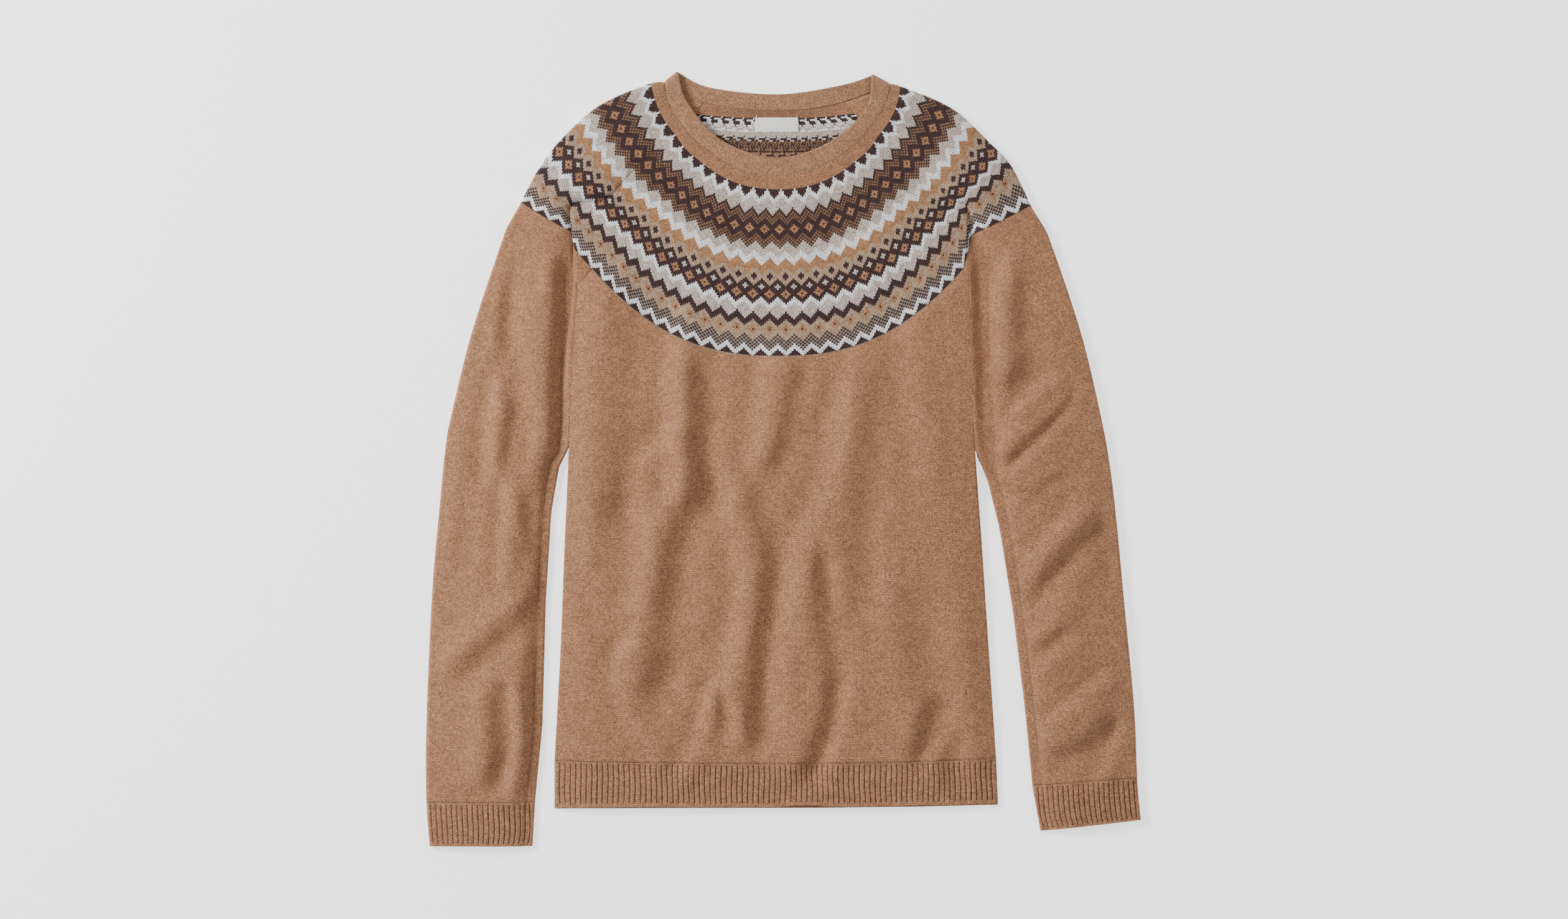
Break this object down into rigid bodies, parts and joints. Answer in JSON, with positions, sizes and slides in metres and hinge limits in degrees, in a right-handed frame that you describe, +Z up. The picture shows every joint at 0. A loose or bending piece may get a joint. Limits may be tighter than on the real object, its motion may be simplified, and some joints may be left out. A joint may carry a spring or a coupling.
{
  "type": "fair isle jumper",
  "caption": "Long-sleeved round-necked wool jumper with a patterned round yoke, laid flat with its front up, with ribbed hem and cuffs.",
  "frame": {"origin": "on the floor under the body's centre line, level with the underarms, on the back panel's outer face", "axes": "+Z up from the floor and out of the jumper's front, +Y towards the neck, +X to the viewer's right as it is looked down on"},
  "size_m": [0.6448, 0.6986, 0.0162],
  "materials": {
    "knit": "heathered lambswool stocking stitch, soft and slightly fuzzy",
    "band": "heathered lambswool stocking stitch, folded double",
    "rib": "heathered lambswool rib",
    "label": "plain woven ribbon with a dull satin face"
  },
  "bodies": {
    "root": {"front": "knit", "back": "knit", "sleeve_left": "knit", "sleeve_right": "knit", "neckband": "band", "hem_front": "rib", "hem_back": "rib", "cuff_left": "rib", "cuff_right": "rib", "label": "label"}
  },
  "joints": []
}
